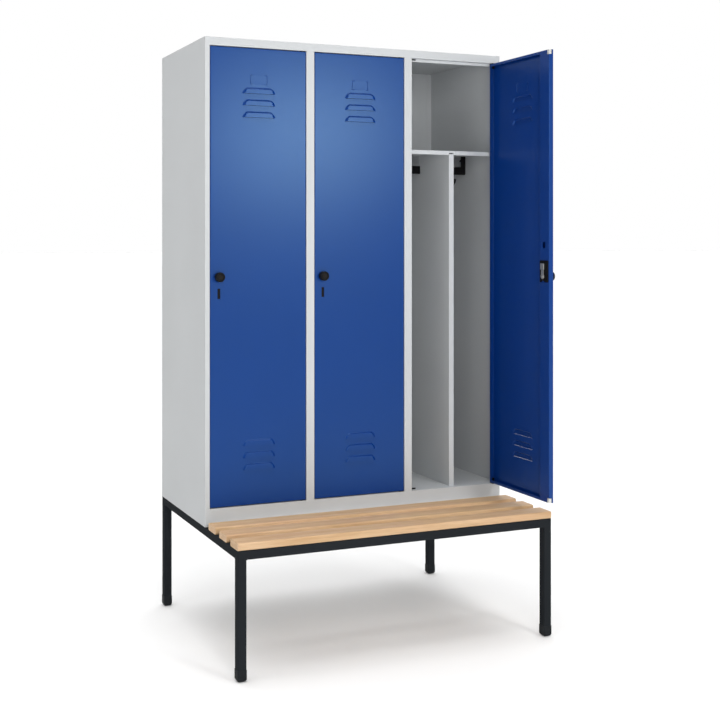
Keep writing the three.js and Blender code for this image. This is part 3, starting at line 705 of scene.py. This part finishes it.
hinge = {joint["child"]: Vector(joint["pos_m"]) for joint in frame["joints"]}
open_door = "door_3"
open_angle = math.pi / 2
panel_low, panel_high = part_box("door_panel_1")
door_left = panel_low.x - hinge["door_1"].x
door_right = panel_high.x - hinge["door_1"].x
door_back = panel_high.y - hinge["door_1"].y
door_face = door_back - door_thickness
door_bottom = panel_low.z
door_top = panel_high.z
door_middle = (door_left + door_right) / 2
lock_x = door_left + lock_inset
lock_z = door_bottom + lock_rise
slot_z = lock_z - slot_drop
label_z = door_top - label_drop
stiffener_right = door_left + stiffener_width
door_origin = Vector((hinge["door_1"].x, hinge["door_1"].y, 0.0))
glide_low, glide_high = (corner - door_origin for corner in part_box("corner_glide_bottom_1"))
glide_front = glide_low.y - glide_room
glide_right = glide_high.x + glide_room
louvre_slits = [door_top - top_louvre_drop - i * louvre_pitch for i in range(3)]
louvre_slits += [door_bottom + bottom_louvre_rise + i * louvre_pitch for i in range(3)]

blue_paint = powder_coat(
    "blue_powder", door_blue, blue_roughness, blue_gloss, shade=blue_shade, tint=blue_sheen_tint,
)


def door_place(body):
    """Where a piece drawn on a shut door, with the hinge's axis at x 0 and y 0, hangs on that door."""
    turn = open_angle if body == open_door else 0.0
    return Matrix.Translation((hinge[body].x, hinge[body].y, 0.0)) @ Matrix.Rotation(turn, 4, "Z")


def show_on_doors(name, mesh, material, node, rider="door"):
    """Shows a copy of the mesh on each door, riding on the door itself or on its lock."""
    for i in compartments:
        place = door_place(f"door_{i}")
        show(f"{name}_{i}", mesh, material, f"{rider}_{i}", [f"{node}_{i}"], place)


def eased(share):
    """A share from 0 to 1, eased at both ends."""
    share = min(1.0, max(0.0, share))
    return share * share * (3.0 - 2.0 * share)


def louvre_rise(across, up):
    """How far a louvre stands out, at a place measured from the middle of its slit."""
    lean = (louvre_half - louvre_top_half) / louvre_height
    side = (louvre_half - up * lean - abs(across)) / math.hypot(1.0, lean)
    top = louvre_height - up
    inside = min(side, top)
    if side < louvre_corner and top < louvre_corner:
        inside = louvre_corner - math.hypot(louvre_corner - side, louvre_corner - top)
    return louvre_depth * eased(inside / louvre_slope)


def label_rise(across, up):
    """How far the label frame stands out, measured from its middle."""
    across, up = abs(across), abs(up)
    edge = min(label_half[0] - across, label_half[1] - up)
    if edge < 0.0 or edge > label_rim:
        return 0.0
    on_tab = label_half[1] - up <= label_rim and label_half[0] - across <= label_tab
    on_side = label_half[0] - across <= label_rim
    height = label_tab_relief if on_tab else label_relief if on_side else label_end_relief
    return height * eased(min(edge, label_rim - edge) / label_shoulder)


def evenly(low, high, step, slack=0.001):
    """Even places from low to high, no further apart than the step, but for a little slack."""
    count = max(1, math.ceil((high - low) / step - slack))
    return [low + (high - low) * k / count for k in range(count + 1)]


def lines_between(low, high, values):
    """A grid's lines from low to high, in order, without near repeats."""
    lines = [low]
    for value in sorted(values):
        if value - lines[-1] > touching and high - value > touching:
            lines.append(value)
    return lines + [high]


def grid_of(columns, rows, depth):
    """A flat sheet that faces the front, with corners where the given lines cross."""
    form = bmesh.new()
    bmesh.ops.create_grid(form, x_segments=len(columns) - 1, y_segments=len(rows) - 1, size=0.5)
    for corner in form.verts:
        column = round((corner.co.x + 0.5) * (len(columns) - 1))
        row = round((corner.co.y + 0.5) * (len(rows) - 1))
        corner.co = (columns[column], depth, rows[row])
    return form


def drop_faces(form, low_x, high_x, low_z, high_z):
    """Takes the sheet away between these lines."""
    gone = [
        face for face in form.faces
        if low_x < face.calc_center_median().x < high_x and low_z < face.calc_center_median().z < high_z
    ]
    bmesh.ops.delete(form, geom=gone, context="FACES")


def fold_on(form, rim, outward, backward):
    """Carries the tray's open rim one step outwards and backwards, and returns the new rim."""
    grown = bmesh.ops.extrude_edge_only(form, edges=rim)["geom"]
    corners = {part for part in grown if isinstance(part, bmesh.types.BMVert)}
    low = [min(corner.co[axis] for corner in corners) for axis in range(3)]
    high = [max(corner.co[axis] for corner in corners) for axis in range(3)]
    for corner in corners:
        for axis in (0, 2):
            if corner.co[axis] - low[axis] < touching:
                corner.co[axis] -= outward
            elif high[axis] - corner.co[axis] < touching:
                corner.co[axis] += outward
        corner.co.y += backward
    return [
        part for part in grown
        if isinstance(part, bmesh.types.BMEdge) and part.is_boundary and set(part.verts) <= corners
    ]


def fold_round(form, rim, radius, start, end):
    """Folds the rim round a bend, from one direction to another, both measured from straight outwards."""
    for k in range(bend_steps):
        before = start + (end - start) * k / bend_steps
        after = start + (end - start) * (k + 1) / bend_steps
        outward = radius * (math.sin(after) - math.sin(before))
        backward = radius * (math.cos(before) - math.cos(after))
        rim = fold_on(form, rim, outward, backward)
    return rim


def door_panel():
    """The folded and pressed tray."""
    rims = (0.0, label_shoulder, label_rim - label_shoulder, label_rim)
    hole = [hole_radius * share for share in (-1.0, -0.5, 0.0, 0.5, 1.0)]
    half = evenly(louvre_top_half - louvre_corner, louvre_half + fine_step, fine_step)
    half += evenly(0.0, louvre_top_half - louvre_corner, louvre_corner)
    half += [label_half[0] - inner for inner in rims] + [label_half[0] - label_tab]
    columns = [door_middle + side * place for side in (-1, 1) for place in half]
    columns += [lock_x + place for place in hole] + [stiffener_right + stiffener_clear, glide_right]
    rows = [label_z + side * (label_half[1] - inner) for side in (-1, 1) for inner in rims]
    rows += [lock_z + place for place in hole] + [slot_z - slot_half_height, slot_z + slot_half_height]
    rows += [door_bottom + glide_tall, door_top - glide_tall]
    for slit in louvre_slits:
        shoulder = slit + louvre_height - louvre_corner
        rows += evenly(slit, shoulder, louvre_slope)
        rows += evenly(shoulder, slit + louvre_height + fine_step, fine_step)
    columns = lines_between(door_left + front_bend, door_right - front_bend, columns)
    rows = lines_between(door_bottom + front_bend, door_top - front_bend, rows)
    form = grid_of(columns, rows, door_face)

    drop_faces(form, lock_x - hole_radius, lock_x + hole_radius, lock_z - hole_radius, lock_z + hole_radius)
    for corner in form.verts:
        away = Vector((corner.co.x - lock_x, 0.0, corner.co.z - lock_z))
        if corner.is_boundary and max(abs(away.x), abs(away.z)) < hole_radius + touching:
            away = away.normalized() * hole_radius
            corner.co.x, corner.co.z = lock_x + away.x, lock_z + away.z
    drop_faces(
        form, lock_x - slot_half_width, lock_x + slot_half_width,
        slot_z - slot_half_height, slot_z + slot_half_height,
    )

    for slit in louvre_slits:
        lift = top_mouth_lift if slit > lock_z else bottom_mouth_lift
        mouth = [
            edge for edge in form.edges
            if all(
                abs(v.co.z - slit) < touching and abs(v.co.x - door_middle) < louvre_half + touching
                for v in edge.verts
            )
        ]
        bmesh.ops.split_edges(form, edges=mouth)
        for corner in form.verts:
            up = corner.co.z - slit
            over = any(face.calc_center_median().z > slit for face in corner.link_faces)
            if -touching < up < louvre_height and over:
                under = any(face.calc_center_median().z < slit for face in corner.link_faces)
                if not (abs(up) < touching and under):
                    height = louvre_rise(corner.co.x - door_middle, max(0.0, up))
                    corner.co.y = door_face - height
                    if abs(up) < touching:
                        corner.co.z += lift * height / louvre_depth
    for corner in form.verts:
        rise = label_rise(corner.co.x - door_middle, corner.co.z - label_z)
        if rise > 0.0:
            corner.co.y = door_face - rise

    sides = (
        (0, door_left + front_bend), (0, door_right - front_bend),
        (2, door_bottom + front_bend), (2, door_top - front_bend),
    )
    rim = [
        edge for edge in form.edges if edge.is_boundary
        and any(all(abs(v.co[axis] - line) < touching for v in edge.verts) for axis, line in sides)
    ]
    rim = fold_round(form, rim, front_bend, 0.0, math.pi / 2)
    rim = fold_on(form, rim, 0.0, glide_front - door_face - front_bend)
    rim = fold_on(form, rim, 0.0, door_back - back_bend - glide_front)
    rim = fold_round(form, rim, back_bend, math.pi / 2, math.pi)
    fold_on(form, rim, -(door_lip - back_bend), 0.0)
    lip = [
        face for face in form.faces
        if face.calc_center_median().x < stiffener_right
        and face.calc_center_median().y > door_back - touching
    ]
    bmesh.ops.delete(form, geom=lip, context="FACES")
    notches = [
        face for face in form.faces
        if face.calc_center_median().x < glide_right and face.calc_center_median().y > glide_front
        and not door_bottom + glide_tall < face.calc_center_median().z < door_top - glide_tall
    ]
    bmesh.ops.delete(form, geom=notches, context="FACES")
    return shaded(form, door_sheet)


show_on_doors("panel", door_panel(), blue_paint, "door_panel")

# Door stiffeners
# A hat-shaped strip is spot-welded behind each door's free edge, from top to bottom. It carries the lock, has
# a slot above it, and makes room at its ends for the white glides.
stiffener_foot = 0.009
stiffener_bend = 0.002
stiffener_slot_half = (0.0075, 0.011)
stiffener_slot_shift = 0.0035
stiffener_slot_rise = 0.111


def stiffener():
    """The strip: a wide face in line with the tray's back, a web down to the skin, and a foot along it."""
    left = door_left + back_bend
    bottom, top = door_bottom + door_sheet, door_top - door_sheet
    slot = lock_z + stiffener_slot_rise
    slot_left = lock_x - stiffener_slot_shift - stiffener_slot_half[0]
    slot_right = lock_x - stiffener_slot_shift + stiffener_slot_half[0]
    columns = [glide_right, slot_left, slot_right]
    rows = [
        bottom + glide_tall, top - glide_tall, slot - stiffener_slot_half[1], slot + stiffener_slot_half[1],
    ]
    columns = lines_between(left, stiffener_right - stiffener_bend, columns)
    rows = lines_between(bottom, top, rows)
    form = grid_of(columns, rows, -door_back)
    drop_faces(form, slot_left, slot_right, slot - stiffener_slot_half[1], slot + stiffener_slot_half[1])
    drop_faces(form, left - door_sheet, glide_right, bottom - door_sheet, bottom + glide_tall)
    drop_faces(form, left - door_sheet, glide_right, top - glide_tall, top + door_sheet)
    rim = edges_at(form, 0, stiffener_right - stiffener_bend)
    web = door_thickness - door_sheet - stiffener_bend
    path = []
    for k in range(bend_steps):
        angle = math.pi / 2 * (k + 1) / bend_steps
        path.append((stiffener_bend * math.sin(angle), stiffener_bend * (1.0 - math.cos(angle))))
    path.append((stiffener_bend, web))
    path.append((stiffener_bend + stiffener_foot, web))
    last = (0.0, 0.0)
    for step in path:
        grown = bmesh.ops.extrude_edge_only(form, edges=rim)["geom"]
        corners = {part for part in grown if isinstance(part, bmesh.types.BMVert)}
        for corner in corners:
            corner.co.x += step[0] - last[0]
            corner.co.y += step[1] - last[1]
        rim = [
            part for part in grown
            if isinstance(part, bmesh.types.BMEdge) and set(part.verts) <= corners and part.is_boundary
        ]
        last = step
    bmesh.ops.transform(form, matrix=Matrix.Diagonal((1.0, -1.0, 1.0, 1.0)), verts=form.verts)
    bmesh.ops.reverse_faces(form, faces=form.faces)
    return shaded(form, door_sheet)


show_on_doors("stiffener", stiffener(), blue_paint, "door_stiffener")

# Corner glides
# White plastic corners at the free edge slide on the frame when the door shuts.
glide_white = (0.52, 0.52, 0.50)
glide_roughness = 0.4
glide_rounding = 0.0022

white_plastic = moulded("white_plastic", glide_white, glide_roughness)
for end in ("top", "bottom"):
    low, high = (corner - door_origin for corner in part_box(f"corner_glide_{end}_1"))
    if end == "top":
        low.z = high.z - glide_tall
    else:
        high.z = low.z + glide_tall
    form = bmesh.new()
    add_block(form, low, high, glide_rounding, steps=4)
    show_on_doors(f"glide_{end}", shaded(form), white_plastic, f"corner_glide_{end}")

# Hinge bushes
# Black plastic bushes in the door's ends turn on the cabinet's steel pins: a plate fills the gap between door
# and frame, and a closed sleeve reaches into the door.
bush_bore = 0.0027
bush_sleeve = 0.0042
bush_sleeve_length = 0.0175
bush_sleeve_end = 0.0008
bush_rounding = 0.0012


def carve(mesh, tool):
    """The mesh, with the tool's form cut out of it."""
    blank = bpy.data.objects.new("blank", mesh)
    cutter_mesh = bpy.data.meshes.new("cutter")
    tool.to_mesh(cutter_mesh)
    tool.free()
    cutter = bpy.data.objects.new("cutter", cutter_mesh)
    for piece in (blank, cutter):
        bpy.context.scene.collection.objects.link(piece)
    cut = blank.modifiers.new("cut", "BOOLEAN")
    cut.operation = "DIFFERENCE"
    cut.solver = "EXACT"
    cut.object = cutter
    graph = bpy.context.evaluated_depsgraph_get()
    carved = bpy.data.meshes.new_from_object(blank.evaluated_get(graph))
    for piece in (blank, cutter):
        bpy.data.objects.remove(piece)
    bpy.data.meshes.remove(mesh)
    bpy.data.meshes.remove(cutter_mesh)
    return smoothed(carved)


def form_from(mesh):
    """A new form that starts as this mesh."""
    form = bmesh.new()
    form.from_mesh(mesh)
    bpy.data.meshes.remove(mesh)
    return form


def hinge_bush(end, seat, turn):
    """One bush: the plate beyond the door's end, and the sleeve behind it."""
    low, high = (corner - door_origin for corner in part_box(f"hinge_bush_{end}_1"))
    low.z, high.z = (seat, high.z) if end == "top" else (low.z, seat)
    form = bmesh.new()
    add_block(form, low, high, bush_rounding, along=2)
    tool = bmesh.new()
    bmesh.ops.create_cone(
        tool, cap_ends=True, segments=32, radius1=bush_bore, radius2=bush_bore, depth=bush_sleeve_length,
        matrix=Matrix.Translation((0.0, 0.0, seat)),
    )
    form = form_from(carve(shaded(form), tool))
    floor = bush_sleeve_end - bush_sleeve_length
    profile = [
        (0.0, -bush_sleeve_length), (bush_sleeve - bush_sleeve_end, -bush_sleeve_length),
        (bush_sleeve, floor), (bush_sleeve, 0.0), (bush_bore, 0.0), (bush_bore, floor), (0.0, floor),
    ]
    add_turning(form, profile, Matrix.Translation((0.0, 0.0, seat)) @ Matrix.Rotation(turn, 4, "X"), steps=32)
    return shaded(form)


for end, seat, turn in (("top", door_top, 0.0), ("bottom", door_bottom, math.pi)):
    bush_mesh = hinge_bush(end, seat, turn)
    show_on_doors(f"bush_{end}", bush_mesh, black_plastic, f"hinge_bush_{end}")

# Lock cases
# A black cover plate is riveted to the stiffener, with an arched notch below the spindle. A barrel reaches
# from it to the door's face, and a black insert fills the slot in the door's skin under the knob.
case_half_width = 0.0235
case_height = 0.078
case_below = 0.021
case_plate = 0.003
case_rounding = 0.0012
case_corner = 0.004
notch_radius = 0.012
notch_drop = 0.006
rivet_radius = 0.0028
rivet_rise = 0.0009
rivet_crown = (0.00168, 0.00081)
rivet_inset = 0.006
rivet_drop = 0.008
insert_side_gap = 0.0003
insert_depth = 0.006
insert_sunk = 0.0006
insert_rounding = 0.0008
groove_half = (0.0006, 0.0144)
groove_rounding = 0.00015
barrel_radius = 0.010


def toward_back(x, y, z):
    """A place whose own Z axis points to the door's back."""
    return Matrix.Translation((x, y, z)) @ Matrix.Rotation(-math.pi / 2, 4, "X")


def toward_front(x, y, z):
    """A place whose own Z axis points out of the door's face."""
    return Matrix.Translation((x, y, z)) @ Matrix.Rotation(math.pi / 2, 4, "X")


def lock_case():
    """The cover plate with its notch and its four rivets."""
    middle = door_left + stiffener_width / 2
    low = (middle - case_half_width, door_back, lock_z - case_below)
    high = (middle + case_half_width, door_back + case_plate, lock_z - case_below + case_height)
    form = bmesh.new()
    add_block(form, low, high, case_corner, steps=5, along=1)
    round_edges(form, edges_at(form, 1, high[1]), case_rounding, 3)
    tool = bmesh.new()
    bmesh.ops.create_cone(
        tool, cap_ends=True, segments=40, radius1=notch_radius, radius2=notch_radius, depth=case_plate * 4,
        matrix=toward_back(lock_x, door_back, low[2] - notch_drop),
    )
    form = form_from(carve(shaded(form), tool))
    for height in (low[2] + case_height - rivet_drop, low[2] + case_height / 2):
        for side in (-1, 1):
            add_turning(
                form, [(0.0, rivet_rise), rivet_crown, (rivet_radius, 0.0)],
                toward_back(middle + side * (case_half_width - rivet_inset), high[1], height), steps=20,
            )
    return shaded(form)


case_mesh = lock_case()

insert_half = (slot_half_width - insert_side_gap, slot_half_height - insert_side_gap)
insert_form = bmesh.new()
add_block(
    insert_form, (lock_x - insert_half[0], door_face + insert_sunk, slot_z - insert_half[1]),
    (lock_x + insert_half[0], door_face + insert_depth, slot_z + insert_half[1]), insert_rounding, steps=2,
)
groove = bmesh.new()
add_block(
    groove, (lock_x - groove_half[0], door_face - insert_depth, slot_z - groove_half[1]),
    (lock_x + groove_half[0], door_face + 2 * insert_sunk, slot_z + groove_half[1]), groove_rounding, steps=1,
)
insert_mesh = carve(shaded(insert_form), groove)

barrel_form = bmesh.new()
add_turning(
    barrel_form, [(0.0, 0.0), (barrel_radius, 0.0), (barrel_radius, door_thickness), (0.0, door_thickness)],
    toward_back(lock_x, door_face, lock_z), steps=40,
)
barrel_mesh = shaded(barrel_form)
for name, mesh in (("lock_plate", case_mesh), ("slot_insert", insert_mesh), ("lock_barrel", barrel_mesh)):
    show_on_doors(name, mesh, black_plastic, "lock_case")

# Turning knobs
# A black plastic cap with a raised rim turns a steel spindle. A lock cylinder with an upright key slot sits
# in its middle.
knob_radius = 0.0168
knob_length = 0.0200
knob_stand_off = 0.0006
knob_edge = 0.003
knob_edge_steps = 6
knob_back_edge = 0.001
rim_inner = 0.0125
rim_edge = (0.0003, 0.0005)
dish_radius = 0.011
dish_depth = 0.002
key_disc = 0.0078
key_disc_edge = 0.0003
key_disc_rise = 0.0012
key_disc_sunk = 0.001
key_slot_half = (0.0007, 0.0042)
key_slot_depth = 0.0018
key_slot_rounding = 0.0002
key_tool_reach = 0.003
cylinder_brown = (0.010, 0.0085, 0.008)
cylinder_roughness = 0.36
cylinder_gloss = 0.12

knob_face = moulded("knob_face", cylinder_brown, cylinder_roughness, gloss=cylinder_gloss)
dish_floor = knob_length - dish_depth
knob_form = bmesh.new()
knob_profile = [
    (0.0, knob_stand_off), (knob_radius - knob_back_edge, knob_stand_off),
    (knob_radius, knob_stand_off + knob_back_edge),
]
for k in range(knob_edge_steps + 1):
    turn = math.pi / 2 * k / knob_edge_steps
    outward = knob_radius - knob_edge + knob_edge * math.cos(turn)
    knob_profile.append((outward, knob_length - knob_edge + knob_edge * math.sin(turn)))
knob_profile += [
    (rim_inner, knob_length), (dish_radius + rim_edge[0], knob_length - rim_edge[1]),
    (dish_radius, dish_floor), (0.0, dish_floor),
]
add_turning(knob_form, knob_profile, toward_front(lock_x, door_face, lock_z), steps=56)
knob_mesh = shaded(knob_form)

key_disc_face = dish_floor + key_disc_rise
cylinder_profile = [
    (0.0, dish_floor - key_disc_sunk), (key_disc, dish_floor - key_disc_sunk),
    (key_disc, key_disc_face - key_disc_edge), (key_disc - key_disc_edge, key_disc_face),
    (0.0, key_disc_face),
]
cylinder_form = bmesh.new()
add_turning(cylinder_form, cylinder_profile, toward_front(lock_x, door_face, lock_z), steps=40)
key_tool = bmesh.new()
key_mouth = door_face - key_disc_face
add_block(
    key_tool, (lock_x - key_slot_half[0], key_mouth - key_tool_reach, lock_z - key_slot_half[1]),
    (lock_x + key_slot_half[0], key_mouth + key_slot_depth, lock_z + key_slot_half[1]),
    key_slot_rounding, steps=1,
)
cylinder_mesh = carve(shaded(cylinder_form), key_tool)
show_on_doors("turning_knob", knob_mesh, black_plastic, "lock_knob", rider="lock")
show_on_doors("key_cylinder", cylinder_mesh, knob_face, "lock_knob", rider="lock")

# Cams
# A zinc-plated cam is riveted to the spindle behind the lock case: a round hub, a waist and a thicker square
# nose that catches behind the frame. It stands up when the door is unlocked.
cam_front_gap = 0.0003
cam_plate = 0.0025
cam_hub = 0.0095
cam_waist = 0.0065
cam_reach = 0.046
cam_nose_length = 0.022
cam_nose_thickness = 0.004
cam_nose_rounding = 0.0009
cam_rounding = 0.0006
spindle_radius = 0.0042
spindle_head_radius = 0.007
spindle_head_rise = 0.0023
spindle_head_edge = 0.00092
spindle_head_crown = (0.00525, 0.00207)
zinc = (0.60, 0.60, 0.58)
zinc_duller = 0.82
zinc_cloud_size = 0.006
zinc_worn_size = 0.002
zinc_roughness = (0.36, 0.50)


def zinc_plating():
    """Bright zinc: a grey metal with cloudy patches."""
    material, tree, shader, place = new_finish("zinc_plating")
    cloud = spread(tree, pattern(tree, place, zinc_cloud_size), 0.0, 1.0)
    duller = [part * zinc_duller for part in zinc]
    tree.links.new(blended(tree, cloud, zinc, duller), shader.inputs["Base Color"])
    shader.inputs["Metallic"].default_value = 1.0
    worn = spread(tree, pattern(tree, place, zinc_worn_size), *zinc_roughness)
    tree.links.new(worn, shader.inputs["Roughness"])
    return material


zinc_plate = zinc_plating()
cam_front = door_back + case_plate + cam_front_gap
cam_back = cam_front + cam_plate
hub_profile = [
    (0.0, 0.0), (cam_hub - cam_rounding, 0.0), (cam_hub, cam_rounding),
    (cam_hub, cam_plate - cam_rounding), (cam_hub - cam_rounding, cam_plate), (0.0, cam_plate),
]
cam_form = bmesh.new()
add_turning(cam_form, hub_profile, toward_back(lock_x, cam_front, lock_z), steps=40)
add_block(
    cam_form, (lock_x - cam_waist, cam_front, lock_z),
    (lock_x + cam_waist, cam_back, lock_z + cam_reach / 2 + cam_rounding), cam_rounding, steps=2,
)
add_block(
    cam_form, (lock_x - cam_hub, cam_front, lock_z + cam_reach - cam_nose_length),
    (lock_x + cam_hub, cam_front + cam_nose_thickness, lock_z + cam_reach), cam_nose_rounding, steps=3,
)
head_profile = [
    (0.0, -spindle_head_rise), (spindle_radius, -spindle_head_rise), (spindle_radius, 0.0),
    (spindle_head_radius, 0.0), (spindle_head_radius, spindle_head_edge), spindle_head_crown,
    (0.0, spindle_head_rise),
]
head_form = bmesh.new()
add_turning(head_form, head_profile, toward_back(lock_x, cam_back, lock_z), steps=32)
show_on_doors("cam", shaded(cam_form), zinc_plate, "lock_cam", rider="lock")
show_on_doors("spindle_head", shaded(head_form), zinc_plate, "lock_knob", rider="lock")

# Closing stops
# Small black stops are glued behind the top and the bottom of each doorway, on its lock side. The shut door
# rests on them, and they keep the sheets from ringing.
stop_length = 0.027
stop_height = 0.0055
stop_front = 0.0003
stop_rounding = 0.0004
post_return = 0.0205
door_side_gap = 0.002
stop_side_gap = 0.0005
lower_stop_depth = 0.005
rail_height = 0.029
body_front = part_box("wall_left")[0].y
rail_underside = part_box("top_panel")[1].z - rail_height
floor_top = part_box("divider_1")[0].z
pitch = hinge["door_2"].x - hinge["door_1"].x

for i in compartments:
    left = panel_low.x - door_side_gap + (i - 1) * pitch + stop_side_gap
    front = body_front + door_thickness + stop_front
    for end, back, low, high in (
        ("top", body_front + post_return, rail_underside - stop_height, rail_underside),
        ("bottom", front + lower_stop_depth, floor_top, floor_top + stop_height),
    ):
        form = bmesh.new()
        add_block(form, (left, front, low), (left + stop_length, back, high), stop_rounding, steps=2)
        show(f"stop_{end}_{i}", shaded(form), black_plastic, "root")
